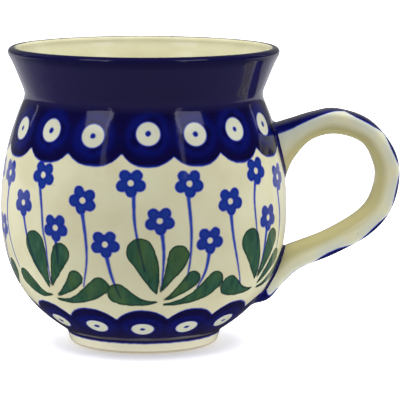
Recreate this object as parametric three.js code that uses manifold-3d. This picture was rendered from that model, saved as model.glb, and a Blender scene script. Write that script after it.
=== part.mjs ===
// A bubble mug of glazed stoneware: a round-bellied cup with a pinched neck and a flared collar, and a
// strap handle that is luted to its wall with two joints of slip. Units are millimetres, +Z is up, and
// the mug stands on z = 0 with its handle towards +X.
import * as THREE from "three";
import { mergeVertices } from "three/addons/utils/BufferGeometryUtils.js";
import Module from "manifold-3d";

const wasm = await Module();
wasm.setup();

// Driving dimensions of the cup. Radii are measured from the cup's own axis.
const BELLY_RADIUS = 44.9;
const BELLY_HEIGHT = 42; // height of the widest place
const FOOT_RADIUS = 24.3; // where the foot ring meets the belly
const FOOT_HEIGHT = 4;
const FOOT_REST_RADIUS = 22.9; // outer edge of the flat that the mug stands on
const RECESS_RADIUS = 20.5; // inner edge of that flat
const RECESS_DEPTH = 3;
const NECK_RADIUS = 37.8; // at the lower edge of the neck's groove
const NECK_HEIGHT = 76;
const COLLAR_HEIGHT = 81; // where the collar starts to flare
const LIP_RADIUS = 40.8; // middle of the rolled lip
const LIP_BEAD = 1.6; // radius of the rolled lip
const RIM_HEIGHT = 93;
const WALL = 4;
const COLLAR_WALL = 3.4;
const FLOOR_HEIGHT = 8.5; // top of the floor, inside the cup
const FLOOR_RADIUS = 16; // the floor is flat out to here
const RECESS_TAPER = 1.2; // how far the recess under the foot narrows on its way up
const FOOT_EDGE = { out: 0.4, up: 0.5 }; // the worn edge of the foot ring

// How far the handles of the profile's curves run from the places they belong to.
const FOOT_FLARE = 3; // outwards and upwards, where the belly leaves the foot
const BELLY_PULL = { down: 27.8, up: 17.5 };
const NECK_PULL = { out: 2.1, down: 5 };
const GROOVE = { depth: 1.3, rise: 2.3, collar: 0.2 };
const LIP_OVERRUN = 0.35; // radians that the lip's round runs past its upper half, on both sides
const INNER_NECK = { offset: 0.6, bulge: 1.2, pinch: 1, reach: 2, drop: 3 };
const INNER_SHOULDER = { out: 3.6, down: 9, up: 15 };
const INNER_BELLY = { down: 22, out: 11.5 };

// Straight steps that each curve is drawn with.
const TURN_STEPS = 64; // round the cup
const BELLY_STEPS = 13;
const SHOULDER_STEPS = 9;
const NECK_STEPS = 4;
const LIP_STEPS = 8;
const INNER_SHOULDER_STEPS = 7;
const INNER_BELLY_STEPS = 11;

// Driving dimensions of the handle.
const HANDLE_REACH = 80.3; // from the cup's axis to the far side of the handle
const HANDLE_STEPS = 44; // along the strap
const SECTION_STEPS = 20; // round its section
const SECTION_SQUARENESS = 2.4; // 2 is an ellipse, more is boxier
const SLIP_THICKNESS = 0.9;
const SLIP_BEAD = 0.6; // how far the slip stands out round a root
const GAP = 0.3; // free space between neighbouring solids

// The origin is in the middle of the mug's length, so the cup's axis lies to one side of it.
const CUP_AXIS_X = (BELLY_RADIUS - HANDLE_REACH) / 2;

// Outer and inner edge of the handle in its own plane, as pairs of [distance from the cup's axis, height],
// with half of the strap's width there. The first and the last pair lie inside the cup's wall.
const STRAP = [
  { outer: [36.4, 67.6], inner: [43.2, 49.4], half: 9.0 },
  { outer: [41.4, 69.0], inner: [45.0, 53.3], half: 8.3 },
  { outer: [46.3, 70.5], inner: [47.0, 57.7], half: 7.4 },
  { outer: [53.0, 72.5], inner: [52.2, 63.5], half: 6.7 },
  { outer: [60.5, 73.5], inner: [59.8, 65.5], half: 6.5 },
  { outer: [70.8, 70.0], inner: [68.2, 62.8], half: 6.5 },
  { outer: [78.2, 61.5], inner: [71.9, 56.2], half: 6.5 },
  { outer: [HANDLE_REACH, 52.4], inner: [72.3, 50.8], half: 6.5 },
  { outer: [77.7, 41.8], inner: [70.1, 44.4], half: 6.5 },
  { outer: [71.2, 34.0], inner: [65.6, 39.9], half: 6.4 },
  { outer: [59.7, 27.5], inner: [56.8, 34.8], half: 6.3 },
  { outer: [49.6, 23.4], inner: [48.4, 31.5], half: 6.6 },
  { outer: [44.0, 18.8], inner: [44.4, 30.0], half: 7.4 },
  { outer: [38.9, 13.1], inner: [41.6, 28.6], half: 8.0 },
  { outer: [32.4, 11.6], inner: [38.0, 26.6], half: 8.2 },
];
const UPPER_ROOT = [0, 0.2]; // stretches of the strap that pass through the wall, from 0 to 1
const LOWER_ROOT = [0.78, 1];

const point = (r, z) => new THREE.Vector2(r, z);

// Outer surface of the cup as a half profile, from the bottom of the foot ring up to the lip.
function outerProfile() {
  const belly = new THREE.CubicBezierCurve(
    point(FOOT_RADIUS, FOOT_HEIGHT),
    point(FOOT_RADIUS + FOOT_FLARE, FOOT_HEIGHT + FOOT_FLARE),
    point(BELLY_RADIUS, BELLY_HEIGHT - BELLY_PULL.down),
    point(BELLY_RADIUS, BELLY_HEIGHT),
  );
  const shoulder = new THREE.CubicBezierCurve(
    point(BELLY_RADIUS, BELLY_HEIGHT),
    point(BELLY_RADIUS, BELLY_HEIGHT + BELLY_PULL.up),
    point(NECK_RADIUS + NECK_PULL.out, NECK_HEIGHT - NECK_PULL.down),
    point(NECK_RADIUS, NECK_HEIGHT),
  );
  const neck = new THREE.QuadraticBezierCurve(
    point(NECK_RADIUS, NECK_HEIGHT),
    point(NECK_RADIUS - GROOVE.depth, NECK_HEIGHT + GROOVE.rise),
    point(NECK_RADIUS + GROOVE.collar, COLLAR_HEIGHT),
  );
  return [
    point(FOOT_REST_RADIUS, 0),
    point(FOOT_REST_RADIUS + FOOT_EDGE.out, FOOT_EDGE.up),
    ...belly.getPoints(BELLY_STEPS),
    ...shoulder.getPoints(SHOULDER_STEPS).slice(1),
    ...neck.getPoints(NECK_STEPS).slice(1),
  ];
}

// The rolled lip, over the top from the outside to the inside.
function lipProfile() {
  const bead = new THREE.EllipseCurve(
    LIP_RADIUS, RIM_HEIGHT - LIP_BEAD, LIP_BEAD, LIP_BEAD, -LIP_OVERRUN, Math.PI + LIP_OVERRUN,
  );
  return bead.getPoints(LIP_STEPS);
}

// Inner surface of the cup, from the lip down to the middle of the floor.
function innerProfile() {
  const neckRadius = NECK_RADIUS - INNER_NECK.offset - COLLAR_WALL;
  const bellyRadius = BELLY_RADIUS - WALL;
  const neckFoot = point(neckRadius + INNER_NECK.bulge, NECK_HEIGHT - INNER_NECK.drop);
  const neck = new THREE.QuadraticBezierCurve(
    point(neckRadius + INNER_NECK.bulge, COLLAR_HEIGHT + INNER_NECK.reach),
    point(neckRadius - INNER_NECK.pinch, NECK_HEIGHT + INNER_NECK.reach),
    neckFoot,
  );
  const shoulder = new THREE.CubicBezierCurve(
    neckFoot,
    point(neckRadius + INNER_SHOULDER.out, NECK_HEIGHT - INNER_SHOULDER.down),
    point(bellyRadius, BELLY_HEIGHT + INNER_SHOULDER.up),
    point(bellyRadius, BELLY_HEIGHT),
  );
  const belly = new THREE.CubicBezierCurve(
    point(bellyRadius, BELLY_HEIGHT),
    point(bellyRadius, BELLY_HEIGHT - INNER_BELLY.down),
    point(FLOOR_RADIUS + INNER_BELLY.out, FLOOR_HEIGHT),
    point(FLOOR_RADIUS, FLOOR_HEIGHT),
  );
  return [
    ...neck.getPoints(NECK_STEPS),
    ...shoulder.getPoints(INNER_SHOULDER_STEPS).slice(1),
    ...belly.getPoints(INNER_BELLY_STEPS).slice(1),
    point(0, FLOOR_HEIGHT),
  ];
}

// A merged, closed mesh as a solid that can be joined and cut, and back again.
function toSolid(geometry) {
  const bare = geometry.clone();
  bare.deleteAttribute("normal");
  bare.deleteAttribute("uv");
  const merged = mergeVertices(bare, 1e-4);
  return new wasm.Manifold(
    new wasm.Mesh({
      numProp: 3,
      vertProperties: merged.attributes.position.array,
      triVerts: new Uint32Array(merged.index.array),
    }),
  );
}

function toGeometry(solid) {
  const mesh = solid.getMesh();
  const geometry = new THREE.BufferGeometry();
  geometry.setAttribute("position", new THREE.BufferAttribute(mesh.vertProperties, 3));
  geometry.setIndex(new THREE.BufferAttribute(mesh.triVerts, 1));
  geometry.computeVertexNormals();
  return geometry;
}

// A half profile turned about the cup's axis, which LatheGeometry takes as +Y.
function turned(profile) {
  return new THREE.LatheGeometry(profile, TURN_STEPS).rotateX(Math.PI / 2);
}

// Everything inside the cup's outer surface once that is moved outwards by a distance: it cuts the roots.
function cupEnvelope(distance) {
  const wall = outerProfile();
  const moved = wall.map((here, i) => {
    const before = wall[Math.max(i - 1, 0)];
    const after = wall[Math.min(i + 1, wall.length - 1)];
    const along = after.clone().sub(before).normalize();
    return point(here.x + along.y * distance, here.y - along.x * distance);
  });
  const top = moved[moved.length - 1];
  return toSolid(turned([point(0, moved[0].y), ...moved, point(0, top.y)]));
}

// A stretch of the strap as a closed solid. grow makes it fatter all round.
function strap([from, to], grow = 0) {
  const edge = (side) => new THREE.SplineCurve(STRAP.map((pair) => point(...pair[side])));
  const outer = edge("outer");
  const inner = edge("inner");
  const widths = new THREE.SplineCurve(STRAP.map((pair, i) => point(i, pair.half)));
  const outline = new THREE.Shape();
  for (let i = 0; i < SECTION_STEPS; i++) {
    const turn = (i / SECTION_STEPS) * 2 * Math.PI;
    const bulge = (value) => Math.sign(value) * Math.abs(value) ** (2 / SECTION_SQUARENESS);
    const place = [bulge(Math.cos(turn)), bulge(Math.sin(turn))];
    if (i === 0) outline.moveTo(...place);
    else outline.lineTo(...place);
  }
  const steps = Math.ceil(HANDLE_STEPS * (to - from));
  const geometry = new THREE.ExtrudeGeometry(outline, { depth: 1, steps, bevelEnabled: false });
  // The straight bar of unit section is laid along the two edges: its x runs from the inner edge to the
  // outer one, its y across the strap, and its z along it.
  const position = geometry.attributes.position;
  for (let i = 0; i < position.count; i++) {
    const t = from + (to - from) * position.getZ(i);
    const far = outer.getPoint(t);
    const near = inner.getPoint(t);
    const middle = far.clone().add(near).multiplyScalar(0.5);
    const reach = far.clone().sub(near).multiplyScalar(0.5);
    reach.setLength(reach.length() + grow);
    const across = -position.getY(i) * (widths.getPoint(t).y + grow);
    const place = middle.add(reach.multiplyScalar(position.getX(i)));
    position.setXYZ(i, place.x, across, place.y);
  }
  return toSolid(geometry);
}

function cupBody() {
  const profile = [
    point(0, RECESS_DEPTH),
    point(RECESS_RADIUS - RECESS_TAPER, RECESS_DEPTH),
    point(RECESS_RADIUS, 0),
    ...outerProfile(),
    ...lipProfile(),
    ...innerProfile(),
  ];
  return turned(profile);
}

function handle() {
  return toGeometry(strap([0, 1]).subtract(cupEnvelope(2 * GAP + SLIP_THICKNESS)));
}

// The skin of slip between the wall and a root, a little wider than the root.
function slipJoint(root) {
  const skin = cupEnvelope(GAP + SLIP_THICKNESS).subtract(cupEnvelope(GAP));
  return toGeometry(strap(root, SLIP_BEAD).intersect(skin));
}

const glaze = (color) => new THREE.MeshStandardMaterial({ color, roughness: 0.12, metalness: 0 });
const COBALT = "#1b1854";
const CREAM = "#d2cfaf";

const mug = new THREE.Group();
mug.name = "stoneware_mug";
const pieces = {
  cup_body: [cupBody(), CREAM],
  handle: [handle(), CREAM],
  upper_slip_joint: [slipJoint(UPPER_ROOT), COBALT],
  lower_slip_joint: [slipJoint(LOWER_ROOT), COBALT],
};
for (const [name, [geometry, color]] of Object.entries(pieces)) {
  const piece = new THREE.Mesh(geometry, glaze(color));
  piece.name = name;
  piece.position.x = CUP_AXIS_X;
  mug.add(piece);
}

export default mug;
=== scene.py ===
import math
import bpy
import numpy as np
from mathutils import Matrix, Vector


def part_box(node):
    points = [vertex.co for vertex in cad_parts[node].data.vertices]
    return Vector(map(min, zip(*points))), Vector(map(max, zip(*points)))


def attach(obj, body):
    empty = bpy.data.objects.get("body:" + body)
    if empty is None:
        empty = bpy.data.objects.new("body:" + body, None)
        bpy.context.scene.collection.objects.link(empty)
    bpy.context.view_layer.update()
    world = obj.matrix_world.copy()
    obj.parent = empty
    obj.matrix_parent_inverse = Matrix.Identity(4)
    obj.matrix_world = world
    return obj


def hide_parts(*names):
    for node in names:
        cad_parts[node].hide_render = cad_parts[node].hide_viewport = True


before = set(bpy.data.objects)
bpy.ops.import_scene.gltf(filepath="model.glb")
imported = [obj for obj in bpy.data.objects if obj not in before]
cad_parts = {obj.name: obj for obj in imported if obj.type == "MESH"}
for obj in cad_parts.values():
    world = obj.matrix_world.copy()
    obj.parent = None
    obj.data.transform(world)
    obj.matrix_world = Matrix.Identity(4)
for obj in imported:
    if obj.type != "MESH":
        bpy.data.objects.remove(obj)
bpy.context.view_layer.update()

# ------------------------------------------------------------------------------------------------
# The camera. It stands an arm's length in front of the mug and 60 mm above its lip, and looks a
# little down, so the far lip shows over the near one. The view transform keeps the paint's colours.
# ------------------------------------------------------------------------------------------------
MM = 0.001
CAMERA_PLACE = (-17.7 * MM, -728.3 * MM, 153.8 * MM)
CAMERA_ASIDE = 1.387  # degrees that it looks towards the handle's side
CAMERA_DOWN = 8.536  # degrees that it looks down
CAMERA_ROLL = 0.198  # degrees
LENS = 210.8  # mm, on a sensor 36 mm wide
camera = bpy.data.objects.new("camera", bpy.data.cameras.new("camera"))
bpy.context.scene.collection.objects.link(camera)
bpy.context.scene.camera = camera
camera.data.sensor_width = 36
camera.data.lens = LENS
camera.matrix_world = (
    Matrix.Translation(CAMERA_PLACE)
    @ Matrix.Rotation(math.radians(-CAMERA_ASIDE), 4, "Z")
    @ Matrix.Rotation(math.radians(90 - CAMERA_DOWN), 4, "X")
    @ Matrix.Rotation(math.radians(CAMERA_ROLL), 4, "Z")
)
bpy.context.scene.view_settings.view_transform = "Standard"

# ------------------------------------------------------------------------------------------------
# The cup. It is thrown in one piece from pale stoneware: a round belly on a turned foot ring, a
# pinched neck and a flared collar with a rolled lip. Cobalt and green are brushed on the dry clay,
# and a clear glaze is fired over them. The ring that it stands on is wiped bare.
# ------------------------------------------------------------------------------------------------
cup_low, cup_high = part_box("cup_body")
CUP_X = (cup_low[0] + cup_high[0]) / 2  # the cup's own axis
RING_POINTS = 208
MIDDLE_RADIUS = 2.0  # of the small round that closes the floor and the base
BASE_UP = 3  # height of the underside inside the foot ring, in mm
WELL_UP = 8.5  # height of the floor that the drink stands on
BELLY_UP = 42  # height of the widest part
BELLY_OUT, BELLY_IN = 44.9, 40.9  # outside and inside radius there
LIP_OUT, LIP_UP = 40.8, 91.4  # radius and height of the middle of the rolled lip
LIP_ROLL = 1.6  # radius of the roll
LIP_TUCK = 0.3  # radians that the roll goes past level on both sides
LIP_STEPS = 7


def bezier(handles, steps):
    """The places on a Bezier curve after its first handle, as (radius, height) in mm."""
    places = []
    for step in range(1, steps + 1):
        level = [Vector(handle) for handle in handles]
        while len(level) > 1:
            level = [a.lerp(b, step / steps) for a, b in zip(level, level[1:])]
        places.append(tuple(level[0]))
    return places


# The profile runs from the middle of the base up the outside, over the lip and down the inside.
foot = [(10, BASE_UP), (18.3, BASE_UP), (19.4, 2.5), (20.3, 0.4), (20.8, 0), (22.3, 0), (22.9, 0.15)]
foot += [(23.35, 0.7), (23.75, 2.3), (24.2, 3.7)]
belly = bezier([(24.3, 4), (27.3, 7), (BELLY_OUT, 14.2), (BELLY_OUT, BELLY_UP)], 42)
shoulder = bezier([(BELLY_OUT, BELLY_UP), (BELLY_OUT, 59.5), (39.9, 71), (37.8, 76)], 22)
neck = bezier([(37.8, 76), (36.5, 78.3), (38.0, 81)], 4)
collar = [(38.9, 83.3), (39.9, 85.9), (41.1, 88.6), (42.1, 90.4)]
lip = []
for step in range(LIP_STEPS + 1):
    turn = -LIP_TUCK + (math.pi + 2 * LIP_TUCK) * step / LIP_STEPS
    lip.append((LIP_OUT + LIP_ROLL * math.cos(turn), LIP_UP + LIP_ROLL * math.sin(turn)))
inside = [(37.6, 88.2), (36.3, 85.4), (34.9, 82.6), (34.0, 79.6), (33.9, 76.6), (34.9, 73.1)]
inside += bezier([(35, 73), (37.4, 67), (BELLY_IN, 57), (BELLY_IN, BELLY_UP)], 5)
inside += bezier([(BELLY_IN, BELLY_UP), (BELLY_IN, 20), (27.5, WELL_UP), (16, WELL_UP)], 6)
inside += [(8, WELL_UP), (MIDDLE_RADIUS, WELL_UP)]
outside = foot[6:] + belly + shoulder + neck + collar + lip[:3]  # from the ring's outer edge up

bpy.ops.object.select_all(action="DESELECT")
bpy.ops.mesh.primitive_plane_add(size=MM, location=(CUP_X + MIDDLE_RADIUS * MM, 0, BASE_UP * MM))
cup = bpy.context.object
cup.name = "painted_cup"
bpy.ops.object.mode_set(mode="EDIT")
bpy.ops.mesh.merge(type="CENTER")
radius, height = MIDDLE_RADIUS, BASE_UP
for next_radius, next_height in foot + belly + shoulder + neck + collar + lip + inside:
    move = ((next_radius - radius) * MM, 0, (next_height - height) * MM)
    bpy.ops.mesh.extrude_region_move(TRANSFORM_OT_translate={"value": move})
    radius, height = next_radius, next_height
bpy.ops.mesh.select_all(action="SELECT")
bpy.ops.mesh.spin(steps=RING_POINTS, angle=2 * math.pi, center=(CUP_X, 0, 0), axis=(0, 0, 1))
bpy.ops.mesh.select_all(action="SELECT")
bpy.ops.mesh.remove_doubles(threshold=1e-6)
bpy.ops.mesh.normals_make_consistent(inside=False)
bpy.ops.object.mode_set(mode="OBJECT")


def finish_clay(piece, levels):
    """Rounds a shape off, smooths it and leaves its object at the origin."""
    bpy.ops.object.select_all(action="DESELECT")
    piece.select_set(True)
    bpy.context.view_layer.objects.active = piece
    if levels:
        rounding = piece.modifiers.new("rounding", "SUBSURF")
        rounding.levels = levels
        rounding.render_levels = levels
        bpy.ops.object.modifier_apply(modifier="rounding")
    bpy.ops.object.transform_apply(location=True, rotation=True, scale=True)
    bpy.ops.object.shade_smooth()


finish_clay(cup, 1)
bpy.ops.object.mode_set(mode="EDIT")
bpy.ops.mesh.select_all(action="SELECT")
bpy.ops.mesh.fill_holes(sides=0)
bpy.ops.object.mode_set(mode="OBJECT")

# The painter's pattern, laid out in degrees round the cup from its front (towards the handle is
# plus) and in mm of height. A brush stroke is a row of (degrees, height, half its width in mm).
points = np.empty(len(cup.data.vertices) * 3)
cup.data.vertices.foreach_get("co", points)
points = points.reshape(-1, 3) / MM
across, along, level = points[:, 0] - CUP_X / MM, points[:, 1], points[:, 2]
angle = np.degrees(np.arctan2(across, -along))
per_degree = np.hypot(across, along) * math.pi / 180  # mm round the cup
FAR = 99.0  # mm: a distance that any brush stroke beats


def swing(degrees):
    """The way round from an angle to every point, from -180 to 180 degrees."""
    return (angle - degrees + 180) % 360 - 180


def spline(row, place):
    """A smooth curve through given values, read at a place from 0 to 1."""
    last = len(row) - 1
    step = min(int(place * last), last - 1)
    w = place * last - step
    a, b, c, d = (np.array(row[min(max(step + k, 0), last)], float) for k in (-1, 0, 1, 2))
    slope_b, slope_c = (c - a) / 2, (d - b) / 2
    cubic = 2 * b - 2 * c + slope_b + slope_c
    square = 3 * c - 3 * b - 2 * slope_b - slope_c
    return ((cubic * w + square) * w + slope_b) * w + b


def stroke(path, shift=0.0):
    """Distance in mm from every point to the edge of a brush stroke, minus inside it.

    With it come the distance to one or the other side of the stroke's middle, and half its width.
    """
    nearest = np.full(len(angle), FAR)
    aside = np.full(len(angle), FAR)
    half = np.zeros(len(angle))
    steps = 3 * (len(path) - 1)  # three straight parts between two given places
    rows = [spline(path, i / steps) for i in range(steps + 1)]
    for (a0, z0, w0), (a1, z1, w1) in zip(rows, rows[1:]):
        x, y = swing(a0 + shift) * per_degree, level - z0
        dx, dy = (a1 - a0) * per_degree, z1 - z0
        t = np.clip((x * dx + y * dy) / (dx * dx + dy * dy + 1e-9), 0, 1)
        width = w0 + (w1 - w0) * t
        distance = np.hypot(x - t * dx, y - t * dy) - width
        closer = distance < nearest
        nearest = np.where(closer, distance, nearest)
        aside = np.where(closer, (dx * y - dy * x) / np.hypot(dx, dy), aside)
        half = np.where(closer, width, half)
    return nearest, aside, half


# Each clump: its leaves, then its flowers as (degrees, height, tilt) with the stem below each.
clump_left = {
    "leaves": [
        [(-44.1, 22.4, 0.3), (-44.4, 24.7, 1.1), (-45.0, 27.2, 2.0), (-46.2, 31.3, 3.5),
         (-47.8, 35.5, 4.3)],
        [(-42.0, 23.0, 0.35), (-40.8, 24.6, 0.8), (-38.9, 27.0, 1.45), (-36.3, 31.0, 2.65),
         (-34.3, 33.9, 3.2)],
        [(-40.4, 20.1, 0.35), (-38.0, 20.8, 0.65), (-35.0, 22.2, 1.2), (-31.7, 24.1, 1.85),
         (-28.8, 26.4, 2.5)],
        [(-41.4, 18.6, 0.35), (-37.5, 18.5, 0.65), (-33.0, 18.8, 1.0), (-27.8, 20.1, 1.65),
         (-22.6, 22.2, 2.5), (-18.4, 24.4, 2.85)],
        [(-43.9, 19.8, 0.3), (-47.5, 19.6, 0.7), (-51.5, 20.2, 1.6), (-55.5, 22.0, 2.6),
         (-59.5, 24.0, 2.9)],
    ],
    "flowers": [
        ((-68.75, 55.4, 0), [(-68.3, 52), (-69.2, 43), (-67, 35), (-63.2, 27)]),
        ((-54.8, 47.6, 3), [(-54.2, 44), (-53, 40), (-50.5, 33), (-47, 27)]),
        ((-43.75, 56.8, -6), [(-45, 54), (-43.3, 47), (-42.5, 40), (-41.3, 35), (-42, 24)]),
        ((-36.25, 41.5, 2), [(-36.3, 38), (-35.9, 34.5), (-36.2, 31)]),
        ((-24.2, 50.4, -14), [(-24.0, 46), (-22.6, 38), (-23, 31), (-25.5, 24)]),
    ],
}
clump_middle = {
    "leaves": [
        [(5.3, 22.4, 0.3), (4.2, 24.5, 1.3), (3.1, 27.2, 2.3), (1.3, 31.3, 3.5), (-1.4, 35.4, 4.25)],
        [(7.1, 23.0, 0.35), (8.1, 24.6, 0.8), (9.8, 27.2, 1.5), (12.3, 31.2, 2.8), (13.6, 34.1, 3.3)],
        [(8.7, 20.2, 0.35), (10.8, 20.9, 0.7), (13.6, 22.3, 1.25), (17.2, 24.6, 2.0),
         (20.0, 26.8, 2.5)],
        [(8.7, 18.6, 0.35), (12.5, 18.8, 0.65), (16.7, 19.4, 1.05), (21.9, 20.8, 1.8),
         (26.6, 23.0, 2.65), (30.2, 25.6, 3.0)],
        [(5.4, 19.5, 0.3), (1.5, 19.2, 0.8), (-2.5, 19.6, 1.4), (-6.5, 20.5, 2.3), (-10.9, 22.1, 3.4)],
    ],
    "flowers": [
        ((-15.0, 37.6, 4), [(-14.5, 34), (-12.7, 27), (-10, 21)]),
        ((-5.1, 56.0, 0), [(-4, 52.5), (-3.6, 45), (-2.4, 39), (0.2, 30)]),
        ((6.0, 44.8, 2), [(6.9, 41), (7.7, 34), (7.2, 24)]),
        ((17.9, 55.6, 0), [(17.3, 52), (18.3, 42), (18.2, 33), (17.4, 26.5)]),
        ((26.1, 38.3, 3), [(26, 34.5), (25.2, 29), (22.6, 24)]),
    ],
}
clump_right = {
    "leaves": [
        [(53.8, 24.0, 0.3), (53.2, 25.4, 0.9), (52.1, 27.5, 1.8), (50.0, 31.3, 2.9),
         (46.5, 36.6, 3.95)],
        [(55.7, 24.4, 0.3), (57.1, 27.2, 1.3), (58.9, 31.0, 2.3), (60.6, 34.0, 2.9), (61.6, 36.0, 3.1)],
        [(57.7, 22.2, 0.4), (60.0, 23.9, 1.2), (62.9, 26.0, 1.9), (65.6, 27.9, 2.4), (67.7, 29.3, 2.8)],
        [(58.4, 20.7, 0.3), (62.3, 21.0, 0.7), (66.3, 21.9, 1.2), (71.3, 23.5, 2.0),
         (76.1, 25.6, 2.8), (80.0, 27.6, 3.0)],
        [(54.3, 20.9, 0.3), (50.5, 20.7, 0.8), (46.5, 21.0, 1.4), (42.5, 21.9, 2.3), (38.2, 23.4, 3.2)],
    ],
    "flowers": [
        ((35.5, 49.5, 3), [(35.6, 45.5), (37, 38), (40.5, 30), (44.5, 23.5)]),
        ((51.1, 57.5, 4), [(49.9, 54.5), (48.4, 49), (49.2, 42), (51, 34)]),
        ((57.4, 42.7, 0), [(56.5, 39), (56, 33), (55.5, 26)]),
        ((68.6, 54.1, 5), [(67, 50.5), (68.7, 42), (68, 32)]),
        ((75.3, 39.7, 0), [(75, 36), (74.6, 31), (73.5, 26)]),
    ],
}
# The front is painted from the three clumps, and the sides and back from turned copies of them.
clumps = [(clump_middle, -101), (clump_left, 0), (clump_middle, 0), (clump_right, 0)]
clumps += [(clump_left, 152.4), (clump_middle, 153.2), (clump_right, 154.4)]
HANDLE_ANGLE = 90
HANDLE_WIDTH = 15.0  # degrees to each side of the handle's middle where no flower is painted
# A stem starts wide between two petals of its flower and tapers to the foot of the clump.
STEM_TOP = 2.4  # mm below the flower's middle
STEM_ASIDE = 0.2  # degrees, towards the handle
STEM_LEAN = 3.2  # degrees, times the sine of the flower's tilt
STEM_WIDE = [1.15, 0.68]  # half its width in mm, in the flower and just below it
STEM_TAPER = (0.5, 0.26)  # half its width on the way down

leaf_edge = np.full(len(angle), FAR)
leaf_overlap = np.full(len(angle), FAR)
stem_edge = np.full(len(angle), FAR)
stem_aside = np.full(len(angle), FAR)
stem_half = np.zeros(len(angle))
flower_x = np.full(len(angle), FAR)
flower_y = np.full(len(angle), FAR)
flower_away = np.full(len(angle), FAR)
for clump, shift in clumps:
    for leaf in clump["leaves"]:
        distance = stroke(leaf, shift)[0]
        leaf_overlap = np.minimum(leaf_overlap, np.maximum(leaf_edge, distance))
        leaf_edge = np.minimum(leaf_edge, distance)
    for (flower_angle, flower_height, tilt), stem in clump["flowers"]:
        if abs(flower_angle + shift - HANDLE_ANGLE) < HANDLE_WIDTH:
            continue
        turn = math.radians(tilt)
        top = (flower_angle + STEM_LEAN * math.sin(turn) + STEM_ASIDE, flower_height - STEM_TOP)
        widths = STEM_WIDE + list(np.linspace(*STEM_TAPER, len(stem) - 1))
        path = [(a, z, w) for (a, z), w in zip([top] + stem, widths)]
        distance, aside, half = stroke(path, shift)
        closer = distance < stem_edge
        stem_edge = np.where(closer, distance, stem_edge)
        stem_aside = np.where(closer, aside, stem_aside)
        stem_half = np.where(closer, half, stem_half)
        x, y = swing(flower_angle + shift) * per_degree, level - flower_height
        x, y = x * math.cos(turn) + y * math.sin(turn), y * math.cos(turn) - x * math.sin(turn)
        closer = np.hypot(x, y) < flower_away
        flower_away = np.where(closer, np.hypot(x, y), flower_away)
        flower_x = np.where(closer, x, flower_x)
        flower_y = np.where(closer, y, flower_y)

# The two scalloped bands and their eyes, as (degrees, height): cusps are the points between two
# scallops. The front ones are listed one by one, and the far side's follow at an even pitch.
UPPER_START, UPPER_PITCH = 77, 22.89  # degrees: the first even cusp, and from one to the next
LOWER_START, LOWER_PITCH = 60, 26.07
UPPER_LOWEST = 60.5  # height that the upper scallops reach down to
UPPER_ROUNDNESS, LOWER_ROUNDNESS = 2.5, 2.3  # 2 is an arc, more is squarer
UPPER_LEAN = 0.9  # mm across the painted edge for a mm of height, as the wall and edge both lean
LOWER_END = 3.4  # height where the lower band stops above the foot
UPPER_EYE = (5.1, 3.4)  # half an eye's width in degrees, and half its height in mm
LOWER_EYE = (6.2, 2.1)
upper_cusps = [(-77, 63.5), (-54, 64.3), (-32.5, 64), (-9, 64.5), (12.2, 63.5), (33, 64), (54.2, 64.3)]
upper_cusps += [(77, 63)] + [(UPPER_START + UPPER_PITCH * k, 64) for k in range(1, 9)] + [(283, 63.5)]
upper_eyes = [(-65.8, 69.2), (-43.7, 70), (-22, 69.3), (1.8, 70.2), (22.3, 69.8), (43, 70.4)]
upper_eyes += [(65.3, 70.5)] + [(UPPER_START + UPPER_PITCH * (k + 0.5), 70) for k in range(1, 9)]
lower_cusps = [(-39.3, 13), (-13.5, 13), (11.7, 13.3), (35.3, 13.7), (60, 14)]
lower_cusps += [(LOWER_START + LOWER_PITCH * k, 13.4) for k in range(1, 10)] + [(320.7, 13)]
lower_eyes = [(-26.3, 10), (-0.7, 9.5), (24, 9.8), (48.7, 10.3)]
lower_eyes += [(LOWER_START + LOWER_PITCH * (k + 0.5), 10) for k in range(10)]


def scallops(where, cusps, bulges, roundness):
    """How far a scalloped edge reaches at each place, between the cusps given as (place, reach)."""
    places, reaches = np.array(cusps).T
    which = np.clip(np.searchsorted(places, where, side="right") - 1, 0, len(places) - 2)
    share = np.clip((where - places[which]) / (places[which + 1] - places[which]), 0, 1)
    straight = reaches[which] * (1 - share) + reaches[which + 1] * share
    return straight + (np.array(bulges)[which] - straight) * (1 - np.abs(2 * share - 1) ** roundness)


upper_first, lower_first = upper_cusps[0][0], lower_cusps[0][0]
upper_angle = (angle - upper_first) % 360 + upper_first
lower_angle = (angle - lower_first) % 360 + lower_first
upper_bulges = [UPPER_LOWEST] * (len(upper_cusps) - 1)
lower_bulges = [16.6, 16.6, 16.7, 17.3] + [16.8] * (len(lower_cusps) - 5)
upper_reach = scallops(upper_angle, upper_cusps, upper_bulges, UPPER_ROUNDNESS)
lower_reach = scallops(lower_angle, lower_cusps, lower_bulges, LOWER_ROUNDNESS)
upper_edge = (upper_reach - level) * UPPER_LEAN
lower_edge = np.maximum(level - lower_reach, LOWER_END - level)
bands_edge = np.minimum(upper_edge, lower_edge)
eye_x = np.full(len(angle), FAR)
eye_y = np.full(len(angle), FAR)
eye_away = np.full(len(angle), FAR)
for eyes, (wide, high) in ((upper_eyes, UPPER_EYE), (lower_eyes, LOWER_EYE)):
    for eye_angle, eye_height in eyes:
        x, y = swing(eye_angle) / wide, (level - eye_height) / high
        closer = np.hypot(x, y) < eye_away
        eye_away = np.where(closer, np.hypot(x, y), eye_away)
        eye_x = np.where(closer, x, eye_x)
        eye_y = np.where(closer, y, eye_y)


def keep(piece, name, values):
    """Stores a number for every point of a piece, for its material to read."""
    stored = piece.data.attributes.new(name, "FLOAT", "POINT")
    stored.data.foreach_set("value", np.asarray(values, dtype=np.float32))


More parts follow.
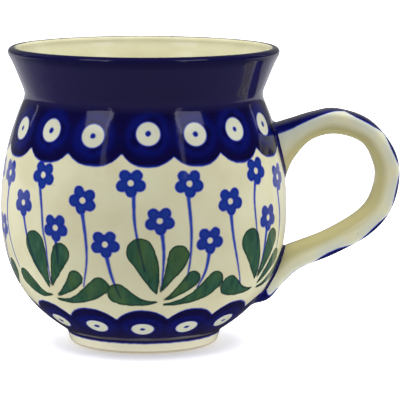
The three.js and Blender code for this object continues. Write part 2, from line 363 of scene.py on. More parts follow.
# Each number is kept up to the most that its material tells apart.
pattern = [
    ("bands_edge", bands_edge, 9), ("leaf_edge", leaf_edge, 9), ("leaf_overlap", leaf_overlap, 9),
    ("stem_edge", stem_edge, 9), ("stem_aside", stem_aside, 3), ("stem_half", stem_half, 3),
    ("flower_x", flower_x, 20), ("flower_y", flower_y, 20), ("flower_away", flower_away, 20),
    ("eye_x", eye_x, 6), ("eye_y", eye_y, 6), ("eye_away", eye_away, 6),
]
for name, values, most in pattern:
    keep(cup, name, np.clip(values, -most, most))


def linear(code):
    """An sRGB hex colour as linear red, green, blue and alpha."""
    parts = [int(code[i:i + 2], 16) / 255 for i in (0, 2, 4)]
    return [p / 12.92 if p <= 0.04045 else ((p + 0.055) / 1.055) ** 2.4 for p in parts] + [1.0]


def add(tree, kind, values=(), out=0, **settings):
    """Adds a node with its settings, sets or links its sockets, and gives one of its outputs."""
    node = tree.nodes.new("ShaderNode" + kind)
    for name, value in settings.items():
        setattr(node, name, value)
    for socket, value in values.items() if isinstance(values, dict) else enumerate(values):
        if isinstance(value, bpy.types.NodeSocket):
            tree.links.new(value, node.inputs[socket])
        else:
            node.inputs[socket].default_value = value
    return node.outputs[out] if node.outputs else None


def new_glaze(name, roughness):
    """A material with one Principled shader, and its place on the piece in mm."""
    material = bpy.data.materials.new(name)
    material.use_nodes = True
    tree = material.node_tree
    shader = next(node for node in tree.nodes if node.type == "BSDF_PRINCIPLED")
    shader.inputs["Roughness"].default_value = roughness
    size = (1 / MM, 1 / MM, 1 / MM)
    place = add(tree, "Mapping", {"Vector": add(tree, "TexCoord", out="Object"), "Scale": size})
    return material, tree, shader, place


# Cream stoneware under clear glaze. To the eye it is warm and calm, a little deeper in slow clouds,
# with a rare brown fleck where iron in the clay came through.
CREAM = linear("D8D6B4")
CREAM_WARM = linear("D0CBA6")
IRON = linear("7A6A4A")
GLAZE_ROUGHNESS = 0.07
CLOUD_SIZE = 14  # sizes of the patterns in mm, from here on
SPECK_SPACING = 5.5
WAVE_SIZE = 9
PEEL_SIZE = 1.1
GLAZE_DEPTH = 0.6  # mm that the waves of the glaze rise and fall at most


def cream_ground(tree, place):
    """The glazed clay's colour: slow clouds of a warmer cream, and iron specks in a few cells."""
    clouds = add(tree, "TexNoise", {"Vector": place, "Scale": 1 / CLOUD_SIZE, "Detail": 3})
    clouds = add(tree, "MapRange", (clouds, 0.35, 0.7))
    ground = add(tree, "MixRGB", (clouds, CREAM, CREAM_WARM))
    cells = {"Vector": place, "Scale": 1 / SPECK_SPACING}
    speck = add(tree, "MapRange", (add(tree, "TexVoronoi", cells), 0.018, 0.05, 1, 0))
    chosen = add(tree, "SeparateColor", (add(tree, "TexVoronoi", cells, out="Color"),))
    chosen = add(tree, "MapRange", (chosen, 0.8, 0.85, 0, 0.55))
    speck = add(tree, "Math", (speck, chosen), operation="MULTIPLY")
    return add(tree, "MixRGB", (speck, ground, IRON))


def glaze_skin(tree, shader, place, wave):
    """The slightly uneven surface of a poured glaze: slow waves and fine orange peel."""
    waves = add(tree, "TexNoise", {"Vector": place, "Scale": 1 / WAVE_SIZE, "Detail": 1})
    peel = add(tree, "TexNoise", {"Vector": place, "Scale": 1 / PEEL_SIZE, "Detail": 1})
    height = add(tree, "Math", (peel, 0.06, waves), operation="MULTIPLY_ADD")
    bump = add(tree, "Bump", {"Height": height, "Strength": wave, "Distance": GLAZE_DEPTH * MM})
    tree.links.new(bump, shader.inputs["Normal"])


# Painted outside: cobalt soaks into the clay, so its edges bleed to a lighter blue and its tone
# follows the brush; green leaves are thinner and streaky, and let the stems below show through.
WOBBLE_SIZE = 2
WOBBLE = 0.13  # mm that a hand-painted edge wanders in or out
BRUSH_LOAD_SIZE = 5  # from a full brush to a drier one
STREAK_SIZE = 2.2
STREAK_STRETCH = 0.35  # the brush went mostly up and down
GLAZE_WAVE = 0.25
painted_name = "clear_glaze_over_brushed_cobalt_and_green"
painted, tree, shader, place = new_glaze(painted_name, GLAZE_ROUGHNESS)
wobble = add(tree, "TexNoise", {"Vector": place, "Scale": 1 / WOBBLE_SIZE})
wobble = add(tree, "MapRange", (wobble, 0.2, 0.8, -WOBBLE, WOBBLE))
up = add(tree, "SeparateXYZ", (place,), out=2)
kept = {}
for name, values, most in pattern:
    kept[name] = add(tree, "Attribute", out="Fac", attribute_name=name)

# Flowers and eyes are drawn from the distance to the middle of the nearest one, so they stay crisp.
# A petal is (x, y, radius) in mm from the flower's middle.
PETALS = [(-1.85, 2.2, 1.68), (1.85, 2.2, 1.68), (-2.65, -0.85, 1.78), (2.7, -0.75, 1.78)]
PETALS += [(0.15, -2.5, 1.7)]
HEART = 2.8  # radius of the paint between the petals
CENTRE_SPOT = 0.98  # radius of the bare spot in a flower's middle
PETAL_JOIN = 0.8  # mm over which two petals run together
FLOWER_REACH = 5.0  # no flower is larger than this
flower = add(tree, "CombineXYZ", (kept["flower_x"], kept["flower_y"]))
middle = add(tree, "VectorMath", (flower,), out="Value", operation="LENGTH")
petals = add(tree, "Math", (middle, HEART), operation="SUBTRACT")
for petal_x, petal_y, petal_radius in PETALS:
    petal = (petal_x, petal_y, 0)
    apart = add(tree, "VectorMath", (flower, petal), out="Value", operation="DISTANCE")
    apart = add(tree, "Math", (apart, petal_radius), operation="SUBTRACT")
    petals = add(tree, "Math", (petals, apart, PETAL_JOIN), operation="SMOOTH_MIN")
beyond = add(tree, "Math", (kept["flower_away"], FLOWER_REACH), operation="SUBTRACT")
petals = add(tree, "Math", (petals, beyond), operation="MAXIMUM")
bare_spot = add(tree, "Math", (CENTRE_SPOT, middle), operation="SUBTRACT")
petals = add(tree, "Math", (petals, bare_spot), operation="MAXIMUM")
EYE_RADIUS = 3.4  # of the spot left open in the blue
EYE_SLACK = 0.12  # share of its radius by which the drawn eye may differ from the kept distance
PUPIL_RADIUS = 0.76
eye = add(tree, "CombineXYZ", (kept["eye_x"], kept["eye_y"]))
eye = add(tree, "VectorMath", (eye,), out="Value", operation="LENGTH")
beyond = add(tree, "Math", (kept["eye_away"], EYE_SLACK), operation="SUBTRACT")
eye = add(tree, "Math", (eye, beyond), operation="MAXIMUM")
from_eye = add(tree, "Math", (eye, EYE_RADIUS, wobble), operation="MULTIPLY_ADD")
round_eye = add(tree, "Math", (EYE_RADIUS, from_eye), operation="SUBTRACT")
eye_paint = add(tree, "Math", (kept["bands_edge"], round_eye), operation="MAXIMUM")
pupil = add(tree, "Math", (from_eye, PUPIL_RADIUS), operation="SUBTRACT")
eye_paint = add(tree, "Math", (eye_paint, pupil), operation="MINIMUM")
cobalt_edge = add(tree, "Math", (petals, eye_paint), operation="MINIMUM")
cobalt_edge = add(tree, "Math", (cobalt_edge, wobble), operation="ADD")
leaf_edge = add(tree, "Math", (kept["leaf_edge"], wobble), operation="ADD")
leaf_overlap = add(tree, "Math", (kept["leaf_overlap"], wobble), operation="ADD")
# The ground is painted paler on the foot ring as painted light bounced up from the floor, and a
# little blue from the brush tints it inside the eyes.
FOOT_BOUNCE_CREAM = linear("ECE8CC")
EYE_CREAM = linear("C9D2C8")
ground = cream_ground(tree, place)
# Painted light: the foot ring is paler where the floor's bounced light reaches it.
foot_bounce_light = add(tree, "MapRange", (up, 5, 3))
ground = add(tree, "MixRGB", (foot_bounce_light, ground, FOOT_BOUNCE_CREAM))
in_eye = add(tree, "MapRange", (from_eye, 3.8, 3.2, 0, 0.4))
ground = add(tree, "MixRGB", (in_eye, ground, EYE_CREAM))

COBALT = linear("05053A")
COBALT_BRIGHT = linear("0A0F5C")
COBALT_DEEP = linear("0B0530")
COBALT_RING = linear("0C1876")
COBALT_BLEED = linear("2C40B0")
COBALT_STEM = linear("2640A0")
THIN_COBALT = linear("0C1D74")
THIN_COBALT_LIGHT = linear("12267F")
PETAL_MIDDLE = linear("1A348A")
NAVY_PAINT_AND_SHADE = linear("221E47")
NAVY_LIP = linear("12103A")
LEAF_GREEN = linear("1E4234")
LEAF_LIGHT = linear("365E48")
LEAF_OLIVE = linear("4C6636")
LEAF_RIM = linear("18352C")
LEAF_TWICE = linear("12281F")
STEM_UNDER_LEAF = linear("0E1E3A")
# A stem is thinner than the mesh's cells, so its edge comes from the distance to its middle.
stem_off = add(tree, "Math", (kept["stem_aside"],), operation="ABSOLUTE")
stem_off = add(tree, "Math", (stem_off, kept["stem_half"]), operation="SUBTRACT")
stem_off = add(tree, "Math", (wobble, 0.6, stem_off), operation="MULTIPLY_ADD")
stem_share = add(tree, "MapRange", (stem_off, -0.25, 0.25, 1, 0))
near_stem = add(tree, "MapRange", (kept["stem_edge"], 0.2, 0.45, 1, 0))
stem_share = add(tree, "Math", (stem_share, near_stem), operation="MULTIPLY")
colour = add(tree, "MixRGB", (stem_share, ground, COBALT_STEM))

streaks = add(tree, "Mapping", {"Vector": place, "Scale": (1, 1, STREAK_STRETCH)})
leaf_streaks = {"Vector": streaks, "Scale": 1 / STREAK_SIZE, "Detail": 3, "Roughness": 0.6}
leaf_tone = add(tree, "TexNoise", leaf_streaks)
leaf_tone = add(tree, "MapRange", (leaf_tone, 0.3, 0.72))
leaf = add(tree, "MixRGB", (leaf_tone, LEAF_GREEN, LEAF_LIGHT))
olive = add(tree, "TexNoise", {"Vector": streaks, "Scale": 1 / BRUSH_LOAD_SIZE, "Detail": 1})
olive = add(tree, "MapRange", (olive, 0.48, 0.72, 0, 0.6))
leaf = add(tree, "MixRGB", (olive, leaf, LEAF_OLIVE))
leaf_rim = add(tree, "MapRange", (leaf_edge, -0.75, -0.1))
leaf = add(tree, "MixRGB", (leaf_rim, leaf, LEAF_RIM))
twice = add(tree, "MapRange", (leaf_overlap, -0.55, -0.3, 0.75, 0))
leaf = add(tree, "MixRGB", (twice, leaf, LEAF_TWICE))
stem_below = add(tree, "Math", (stem_share, 0.7), operation="MULTIPLY")
leaf = add(tree, "MixRGB", (stem_below, leaf, STEM_UNDER_LEAF))
leaf_share = add(tree, "MapRange", (leaf_edge, -0.1, 0.16, 1, 0))
colour = add(tree, "MixRGB", (leaf_share, colour, leaf))

blue_tone = add(tree, "TexNoise", {"Vector": place, "Scale": 1 / BRUSH_LOAD_SIZE})
blue_tone = add(tree, "MapRange", (blue_tone, 0.3, 0.72))
blue = add(tree, "MixRGB", (blue_tone, COBALT, COBALT_BRIGHT))
# Round each eye the brush left a dark ring, a faint bright one, and thick dark paint further out.
drift = add(tree, "TexNoise", {"Vector": place, "Scale": 1 / BRUSH_LOAD_SIZE, "Detail": 1})
drift = add(tree, "MapRange", (drift, 0.3, 0.7, -0.8, 0.8))
ring = add(tree, "Math", (from_eye, drift), operation="ADD")
blue = add(tree, "MixRGB", (add(tree, "MapRange", (ring, 3.8, 4.8, 0.4, 0)), blue, COBALT_DEEP))
between = add(tree, "Math", (ring, 5.2), operation="SUBTRACT")
between = add(tree, "Math", (between,), operation="ABSOLUTE")
blue = add(tree, "MixRGB", (add(tree, "MapRange", (between, 0.2, 1.3, 0.3, 0)), blue, COBALT_RING))
blue = add(tree, "MixRGB", (add(tree, "MapRange", (ring, 6.2, 7.8, 0, 0.8)), blue, COBALT_DEEP))
# The flowers and pupils are thinner paint, a little lighter in the middle of each petal.
FLOWERS_FROM, FLOWERS_TO = 19, 61.5  # height of the plain ground between the two bands
thin = add(tree, "MixRGB", (blue_tone, THIN_COBALT, THIN_COBALT_LIGHT))
petal_rim = add(tree, "MapRange", (petals, -0.9, -0.25))
thin = add(tree, "MixRGB", (petal_rim, PETAL_MIDDLE, thin))
above = add(tree, "MapRange", (up, FLOWERS_FROM, FLOWERS_FROM + 1))
below = add(tree, "MapRange", (up, FLOWERS_TO, FLOWERS_TO - 1.2))
between_bands = add(tree, "Math", (above, below), operation="MULTIPLY")
blue = add(tree, "MixRGB", (between_bands, blue, thin))
blue = add(tree, "MixRGB", (add(tree, "MapRange", (from_eye, 1.6, 1.2, 0, 0.8)), blue, thin))
# Above the neck the blue is navy paint; towards the foot it darkens to navy as painted shade
# under the belly's curve; and there is a nearly black line on the lip.
blue = add(tree, "MixRGB", (add(tree, "MapRange", (up, 75.5, 77.8)), blue, NAVY_PAINT_AND_SHADE))
# Painted shade: the blue darkens to navy towards the foot, under the belly's curve.
blue = add(tree, "MixRGB", (add(tree, "MapRange", (up, 12, 5.5, 0, 0.8)), blue, NAVY_PAINT_AND_SHADE))
blue = add(tree, "MixRGB", (add(tree, "MapRange", (up, 88.8, 90.5)), blue, NAVY_LIP))
bleed = add(tree, "MapRange", (cobalt_edge, -0.45, 0.05))
blue = add(tree, "MixRGB", (bleed, blue, COBALT_BLEED))
blue_share = add(tree, "MapRange", (cobalt_edge, -0.12, 0.28, 1, 0))
colour = add(tree, "MixRGB", (blue_share, colour, blue))
# The navy of the collar stops on top of the rolled lip.
NAVY_END = 39.9  # mm from the cup's axis
axis = (CUP_X / MM, 0, 0)
out = add(tree, "VectorMath", (place, axis), operation="SUBTRACT")
out = add(tree, "VectorMath", (out, (1, 1, 0)), operation="MULTIPLY")
out = add(tree, "VectorMath", (out,), out="Value", operation="LENGTH")
out = add(tree, "Math", (wobble, 0.8, out), operation="MULTIPLY_ADD")
lip_inside = add(tree, "MapRange", (out, NAVY_END, NAVY_END + 0.4, 1, 0))
on_lip = add(tree, "MapRange", (up, 89, 89.5))
lip_inside = add(tree, "Math", (lip_inside, on_lip), operation="MULTIPLY")
colour = add(tree, "MixRGB", (lip_inside, colour, ground))
tree.links.new(colour, shader.inputs["Base Color"])
glaze_skin(tree, shader, place, GLAZE_WAVE)

# The inside has clear glaze only: glossy cream, with painted shade that turns it to straw deeper
# down inside the cup.
STRAW_SHADE = linear("C4C08C")
lining, tree, shader, place = new_glaze("clear_glaze_over_cream_stoneware", GLAZE_ROUGHNESS)
# Painted shade: the cream turns to straw lower inside the cup.
depth = add(tree, "MapRange", (add(tree, "SeparateXYZ", (place,), out=2), 90, 77))
shaded_cream = add(tree, "MixRGB", (depth, cream_ground(tree, place), STRAW_SHADE))
tree.links.new(shaded_cream, shader.inputs["Base Color"])
glaze_skin(tree, shader, place, GLAZE_WAVE)

# The foot ring is bare clay: matt, sandy and finely gritty, with no shine at all.
CLAY = linear("CFC6AE")
CLAY_DARK = linear("B0A48C")
SAND_SIZE = 0.8
GRIT_SIZE = 0.4
GRIT_DEPTH = 0.2
bare, tree, shader, place = new_glaze("bare_fired_stoneware", 0.85)
clay = add(tree, "TexNoise", {"Vector": place, "Scale": 1 / SAND_SIZE, "Detail": 4})
clay = add(tree, "MixRGB", (clay, CLAY, CLAY_DARK))
tree.links.new(clay, shader.inputs["Base Color"])
grit = add(tree, "TexNoise", {"Vector": place, "Scale": 1 / GRIT_SIZE})
grit = add(tree, "Bump", {"Height": grit, "Strength": 0.5, "Distance": GRIT_DEPTH * MM})
tree.links.new(grit, shader.inputs["Normal"])

# The very bottom is wiped bare. Clear glaze alone covers the underside and every face that looks at
# the cup's axis, but for the rounded lip, which the painter's navy covers to just past its top.
LINED, BARE = 1, 2  # the materials' places on the cup, after the painted one
WIPED_UP = 0.8  # mm, as are the next three: heights, and distances from the cup's axis
FOOT_INSIDE = 20.6
LIP_INSIDE = 39.2
COLLAR_UP = 80
for material in (painted, lining, bare):
    cup.data.materials.append(material)
for face in cup.data.polygons:
    x, y = face.center.x - CUP_X, face.center.y
    out_mm = math.hypot(x, y) / MM
    up_mm = face.center.z / MM
    leaning = face.normal.x * x + face.normal.y * y
    if up_mm < WIPED_UP:
        face.material_index = BARE
    elif out_mm < FOOT_INSIDE or (leaning < 0 and (out_mm < LIP_INSIDE or up_mm < COLLAR_UP)):
        face.material_index = LINED
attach(cup, "root")
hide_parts("cup_body")

# ------------------------------------------------------------------------------------------------
# The handle. It is a strap of the same clay, pulled by hand, bent to a loop and luted to the wall
# at its shoulder and its foot. Its outer face is brushed with cobalt in long scallops.
# ------------------------------------------------------------------------------------------------
# Outer edge and inner edge as (mm from the cup's axis, height), and half the width in mm, each from
# the upper root to the lower one.
STRAP_OUTER = [(36.4, 67.6), (41.4, 69.0), (46.3, 70.5), (53.0, 72.5), (60.5, 73.5), (70.8, 70.0)]
STRAP_OUTER += [(78.2, 61.5), (80.3, 52.4), (77.7, 41.8), (71.2, 34.0), (59.7, 27.5), (49.6, 23.4)]
STRAP_OUTER += [(44.0, 18.8), (38.9, 13.1), (32.4, 11.6)]
STRAP_INNER = [(43.2, 49.4), (45.0, 53.3), (47.0, 57.7), (52.2, 63.5), (59.8, 65.5), (68.2, 62.8)]
STRAP_INNER += [(71.9, 56.2), (72.3, 50.8), (70.1, 44.4), (65.6, 39.9), (56.8, 34.8), (48.4, 31.5)]
STRAP_INNER += [(44.4, 30.0), (41.6, 28.6), (38.0, 26.6)]
STRAP_HALF = [9.0, 8.3, 7.4, 6.7, 6.5, 6.5, 6.5, 6.5, 6.5, 6.4, 6.3, 6.6, 7.4, 8.0, 8.2]
SQUARENESS = 2.4  # of the strap's section: 2 is an oval, more is boxier
SHOULDER = 0.3  # how far the widest part of the section lies towards the outer face
STRAP_RINGS = 90
SECTION_POINTS = 48
ROOT_DEPTH = 1.6  # mm that each end runs into the cup's wall
WALL_STEP = 0.002  # of the strap's length, in the search for the wall


def wall(up):
    """The radius of the cup's outside at a height, in mm."""
    return np.interp(up, [place[1] for place in outside], [place[0] for place in outside])


def strap(place, turn, swell=1.0):
    """A point of the strap's skin: place runs from root to root, turn goes round the section."""
    outer, inner = spline(STRAP_OUTER, place), spline(STRAP_INNER, place)
    parts = math.cos(turn), math.sin(turn)
    thick, wide = (math.copysign(abs(part) ** (2 / SQUARENESS), part) * swell for part in parts)
    middle = (outer + inner) / 2 + (outer - inner) / 2 * (thick + SHOULDER * (1 - thick ** 2))
    return np.array([middle[0], spline(STRAP_HALF, place) * wide, middle[1]])


def leaves_wall(turn, lift, start):
    """The place where a line of the strap is lift mm outside the cup's wall, from one end (0 or 1)."""
    place = start
    while 0 <= place <= 1:
        x, y, up = strap(place, turn)
        if math.hypot(x, y) > wall(up) + lift:
            return place
        place += WALL_STEP if start == 0 else -WALL_STEP
    return start


bpy.ops.object.select_all(action="DESELECT")
bpy.ops.mesh.primitive_circle_add(vertices=SECTION_POINTS, radius=1, location=(0, 0, 0))
handle = bpy.context.object
handle.name = "strap_handle"
bpy.ops.object.mode_set(mode="EDIT")
bpy.ops.mesh.edge_face_add()
for ring in range(STRAP_RINGS):
    bpy.ops.mesh.extrude_region_move(TRANSFORM_OT_translate={"value": (0, 0, 1)})
bpy.ops.object.mode_set(mode="OBJECT")
# The straight bar is bent to the loop point by point; both ends run into the wall.
ends = {}
places, turns = [], []
for vertex in handle.data.vertices:
    turn = math.atan2(vertex.co.y, vertex.co.x)
    key = round(turn, 4)
    if key not in ends:
        ends[key] = leaves_wall(turn, -ROOT_DEPTH, 0), leaves_wall(turn, -ROOT_DEPTH, 1)
    first, last = ends[key]
    place = first + (last - first) * round(vertex.co.z) / STRAP_RINGS
    x, y, up = strap(place, turn)
    vertex.co = (x * MM + CUP_X, y * MM, up * MM)
    places.append(place)
    turns.append(abs(math.degrees(turn)))
keep(handle, "strap_place", places)
keep(handle, "strap_turn", turns)
bpy.ops.object.mode_set(mode="EDIT")
bpy.ops.mesh.select_all(action="SELECT")
bpy.ops.mesh.normals_make_consistent(inside=False)
bpy.ops.object.mode_set(mode="OBJECT")
finish_clay(handle, 1)

# The cobalt reaches round the strap's section to these angles (0 is the middle of its outer face).
handle_cusps = [(0, 60), (0.301, 30), (0.391, 26), (0.478, 28), (0.575, 34), (0.672, 38), (0.76, 42)]
handle_cusps += [(0.88, 42), (0.94, 80), (1.01, 110)]
handle_bulges = [72, 66, 64, 66, 74, 80, 54, 64, 95]
HANDLE_ROUNDNESS = 2.6
MM_PER_DEGREE = 0.1  # along the strap's skin, round its section


def recall(piece, name):
    """The numbers that keep() stored, after the piece was rounded off."""
    values = np.empty(len(piece.data.vertices), dtype=np.float32)
    piece.data.attributes[name].data.foreach_get("value", values)
    return values


reach = scallops(recall(handle, "strap_place"), handle_cusps, handle_bulges, HANDLE_ROUNDNESS)
keep(handle, "cobalt_edge", (recall(handle, "strap_turn") - reach) * MM_PER_DEGREE)

# Glossy deep blue on the outer face and cream at the sides, bluish where they meet from the cobalt's
# bleed and a painted highlight. The shaded inner face is painted darker and more yellow as painted
# shade, and the glaze is wavier over the pulled strap than on the thrown wall.
STRAP_ROUGHNESS = 0.08
STRAP_WAVE = 0.3
STRAP_BRUSH_SIZE = 3
STRAP_INSIDE_SHADE = linear("BDB684")
BLEED_AND_SHEEN_CREAM = linear("B3C1C6")
strap_glaze, tree, shader, place = new_glaze("clear_glaze_over_cobalt_edged_strap", STRAP_ROUGHNESS)
wobble = add(tree, "TexNoise", {"Vector": place, "Scale": 1 / WOBBLE_SIZE})
wobble = add(tree, "MapRange", (wobble, 0.2, 0.8, -WOBBLE, WOBBLE))
edge = add(tree, "Attribute", out="Fac", attribute_name="cobalt_edge")
edge = add(tree, "Math", (edge, wobble), operation="ADD")
# Painted shade: the strap's inner face, turned from the light, is painted a darker yellow cream.
inner_face_shade = add(tree, "Attribute", out="Fac", attribute_name="strap_turn")
inner_face_shade = add(tree, "MapRange", (inner_face_shade, 100, 125))
ground = add(tree, "MixRGB", (inner_face_shade, cream_ground(tree, place), STRAP_INSIDE_SHADE))
# Cobalt bleed and a painted highlight: the cream turns pale blue within a few mm of the blue.
ground = add(tree, "MixRGB", (add(tree, "MapRange", (edge, 4.5, 0, 0, 0.55)), ground, BLEED_AND_SHEEN_CREAM))
brushed = {"Vector": place, "Scale": 1 / STRAP_BRUSH_SIZE, "Detail": 3, "Roughness": 0.6}
blue = add(tree, "TexNoise", brushed)
blue = add(tree, "MapRange", (blue, 0.32, 0.7))
blue = add(tree, "MixRGB", (blue, COBALT, COBALT_BRIGHT))
blue = add(tree, "MixRGB", (add(tree, "MapRange", (edge, -0.6, 0)), blue, COBALT_BLEED))
colour = add(tree, "MixRGB", (add(tree, "MapRange", (edge, -0.15, 0.3, 1, 0)), ground, blue))
tree.links.new(colour, shader.inputs["Base Color"])
glaze_skin(tree, shader, place, STRAP_WAVE)
handle.data.materials.append(strap_glaze)
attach(handle, "root")
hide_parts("handle")

# ------------------------------------------------------------------------------------------------
# The two slip joints. A bead of liquid clay is pressed round each root to bond the strap to the
# wall, smoothed to a hollow with a finger and marked with one cobalt brush line.
# ------------------------------------------------------------------------------------------------
BEAD_TURNS = 72
HOLLOW_SIDES = 6  # rows of points across the hollow
BEAD_SIDES = HOLLOW_SIDES + 2  # and two hidden in the clay
BEAD_REACH = 1.6  # mm up the strap and out along the wall
BEAD_START = 0.97  # of the strap's own section: the bead's upper edge lies just under its skin
HIDDEN_START = 0.8
RIM_DEPTH = 0.12  # mm under the wall's skin
HIDDEN_DEPTH = 1.0
LINE_BRUSH_SIZE = 2

# One loaded brush line: glossy, nearly black blue with a few brighter places.
brush_line, tree, shader, place = new_glaze("clear_glaze_over_cobalt_brush_line", STRAP_ROUGHNESS)
brushed = {"Vector": place, "Scale": 1 / LINE_BRUSH_SIZE, "Detail": 3, "Roughness": 0.6}
blue = add(tree, "TexNoise", brushed)
blue = add(tree, "MapRange", (blue, 0.3, 0.7))
blue = add(tree, "MixRGB", (blue, COBALT_DEEP, COBALT_BRIGHT))
tree.links.new(blue, shader.inputs["Base Color"])
glaze_skin(tree, shader, place, STRAP_WAVE)


def on_wall(degrees, up, depth):
    """A point of the cup's wall, or depth mm under it."""
    radius, turn = wall(up) - depth, math.radians(degrees)
    return np.array([radius * math.sin(turn), -radius * math.cos(turn), up])


# Each ring of a torus becomes a slice of a bead, from its crest on the strap through the corner
# between strap and wall to its rim on the wall.
for name, node, start in (
    ("upper_slip_bead", "upper_slip_joint", 0),
    ("lower_slip_bead", "lower_slip_joint", 1),
):
    bpy.ops.object.select_all(action="DESELECT")
    bpy.ops.mesh.primitive_torus_add(
        major_segments=BEAD_TURNS, minor_segments=BEAD_SIDES, major_radius=1, minor_radius=0.25
    )
    bead = bpy.context.object
    bead.name = name
    corners, crests = [], []
    for step in range(BEAD_TURNS):
        turn = 2 * math.pi * step / BEAD_TURNS
        corners.append(strap(leaves_wall(turn, 0, start), turn))
        crests.append(strap(leaves_wall(turn, BEAD_REACH, start), turn, BEAD_START))
    centre = sum(corners) / BEAD_TURNS
    for vertex in bead.data.vertices:
        step, side = divmod(vertex.index, BEAD_SIDES)
        corner, crest = corners[step], crests[step]
        round_wall = math.degrees(math.atan2(corner[0], -corner[1]))
        aside = (round_wall - HANDLE_ANGLE) * math.radians(1) * wall(corner[2])
        apart = math.hypot(aside, corner[2] - centre[2])
        out_degrees = round_wall + math.degrees(BEAD_REACH * aside / apart / wall(corner[2]))
        out_up = corner[2] + BEAD_REACH * (corner[2] - centre[2]) / apart
        rim = on_wall(out_degrees, out_up, RIM_DEPTH)
        if side < HOLLOW_SIDES:
            share = side / (HOLLOW_SIDES - 1)
            spot = crest * (1 - share) ** 2 + corner * 2 * share * (1 - share) + rim * share ** 2
        elif side == HOLLOW_SIDES:
            spot = on_wall(out_degrees, out_up, HIDDEN_DEPTH)
        else:
            turn = 2 * math.pi * step / BEAD_TURNS
            spot = strap(leaves_wall(turn, 0, start), turn, HIDDEN_START)
        vertex.co = (spot[0] * MM + CUP_X, spot[1] * MM, spot[2] * MM)
    bpy.ops.object.mode_set(mode="EDIT")
    bpy.ops.mesh.select_all(action="SELECT")
    bpy.ops.mesh.normals_make_consistent(inside=False)
    bpy.ops.object.mode_set(mode="OBJECT")
    finish_clay(bead, 2)
    bead.data.materials.append(brush_line)
    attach(bead, "root")
    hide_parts(node)

# ------------------------------------------------------------------------------------------------
# The floor and the light: a white paper sweep, a soft box and a strip light in front at each side, a
# thin strip behind at each side for the rims, and a white room that is darker behind the camera.
# ------------------------------------------------------------------------------------------------
SWEEP_SIZE = 14  # m
SWEEP_GAP = 0.1 * MM  # under the foot, so the two never share a plane
PAPER = linear("F2F2F8")
WHITE = linear("FFFFFF")
bpy.ops.object.select_all(action="DESELECT")
bpy.ops.mesh.primitive_plane_add(size=SWEEP_SIZE, location=(0, 0, -SWEEP_GAP))
floor = bpy.context.object
floor.name = "floor"
# Seamless paper: quite matt and even, with no edge or shine to the eye.
paper, tree, shader, place = new_glaze("white_paper_sweep", 0.9)
shader.inputs["Specular IOR Level"].default_value = 0.0
shader.inputs["Emission Color"].default_value = WHITE
# The glaze mirrors the paper darkly in front of the mug and grey behind it, and the light that the
# paper bounces comes from behind as well. The paper glows softly, less so where the foot stands.
FOOT_SHADE = (CUP_X / MM, -9, 0)  # middle of the soft shade round the foot, in mm
SHADE_FROM, SHADE_TO = 17, 38
glossy = add(tree, "LightPath", out="Is Glossy Ray")
diffuse = add(tree, "LightPath", out="Is Diffuse Ray")
ahead = add(tree, "SeparateXYZ", (place,), out=1)
mirrored = add(tree, "MapRange", (ahead, 0, 300, 0.04, 0.3))
bounced = add(tree, "MapRange", (ahead, -130, 30, 0.1, 1))
seen = add(tree, "MapRange", (glossy, 0, 1, 1, mirrored))
seen = add(tree, "MapRange", (diffuse, 0, 1, seen, bounced))
colour = add(tree, "MixRGB", (seen, (0, 0, 0, 1), PAPER))
tree.links.new(colour, shader.inputs["Base Color"])
from_foot = add(tree, "VectorMath", (place, FOOT_SHADE), operation="SUBTRACT")
from_foot = add(tree, "VectorMath", (from_foot,), out="Value", operation="LENGTH")
glow = add(tree, "MapRange", (from_foot, SHADE_FROM, SHADE_TO, 0.18, 0.65))
glow = add(tree, "Math", (seen, glow), operation="MULTIPLY")
glow = add(tree, "MapRange", (diffuse, 0, 1, glow, bounced))
tree.links.new(glow, shader.inputs["Emission Strength"])
floor.data.materials.append(paper)

TARGET = Vector((CUP_X, 0, 0.05))  # the middle of the cup
LAMP_COLOUR = (0.8, 0.78, 1.0)  # a cool white, so the blue glaze keeps its colour in the highlights


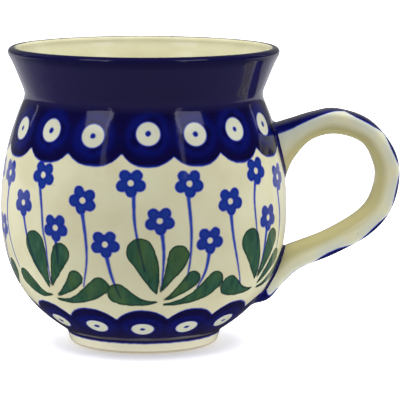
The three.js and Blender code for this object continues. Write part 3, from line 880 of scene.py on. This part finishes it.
def soft_box(name, azimuth, elevation, distance, width, height, power):
    """An area light aimed at the mug, with sizes in m and power in W.

    Its azimuth is measured in degrees from the front, towards the handle.
    """
    turn, lift = math.radians(azimuth), math.radians(elevation)
    way = Vector((math.sin(turn) * math.cos(lift), -math.cos(turn) * math.cos(lift), math.sin(lift)))
    lamp = bpy.data.objects.new(name, bpy.data.lights.new(name, "AREA"))
    lamp.data.shape = "RECTANGLE"
    lamp.data.color = LAMP_COLOUR
    lamp.data.size = width
    lamp.data.size_y = height
    lamp.data.energy = power
    lamp.location = TARGET + way * distance
    lamp.rotation_euler = way.to_track_quat("Z", "Y").to_euler()
    bpy.context.scene.collection.objects.link(lamp)


soft_box("soft_box_left", -46, 40, 1.3, 0.5, 0.42, 1.3)
soft_box("soft_box_right", 46, 40, 1.3, 0.5, 0.42, 1.3)
soft_box("strip_left", -34, 26, 1.4, 0.09, 0.75, 0.18)
soft_box("strip_right", 34, 26, 1.4, 0.09, 0.75, 0.18)
soft_box("edge_strip_left", -122, 30, 1.4, 0.05, 0.9, 0.2)
soft_box("edge_strip_right", 122, 30, 1.4, 0.05, 0.9, 0.15)

# The room lights the mug from overhead, beside and behind. It is plain white where the camera sees
# it, and the glaze mirrors only its dim far side.
world = bpy.data.worlds.new("studio")
bpy.context.scene.world = world
world.use_nodes = True
tree = world.node_tree
tree.nodes.clear()
way = add(tree, "TexCoord", out="Generated")
side, ahead, up = (add(tree, "SeparateXYZ", (way,), out=axis) for axis in range(3))
mirrored = add(tree, "MapRange", (ahead, 0.4, 1, 0.03, 0.25))
overhead = add(tree, "MapRange", (up, 0.4, 0.85, 0, 2.2))
beside = add(tree, "Math", (side,), operation="ABSOLUTE")
beside = add(tree, "MapRange", (beside, 0.4, 1, 0, 0.35))
soft = add(tree, "MapRange", (ahead, -0.8, 0.5, 0.15, 0.6))
soft = add(tree, "Math", (soft, overhead), operation="ADD")
soft = add(tree, "Math", (soft, beside), operation="ADD")
room = add(tree, "MapRange", (add(tree, "LightPath", out="Is Diffuse Ray"), 0, 1, mirrored, soft))
room = add(tree, "MapRange", (add(tree, "LightPath", out="Is Camera Ray"), 0, 1, room, 1))
sky = add(tree, "Background", {"Color": (1, 1, 1, 1), "Strength": room})
add(tree, "OutputWorld", {"Surface": sky})
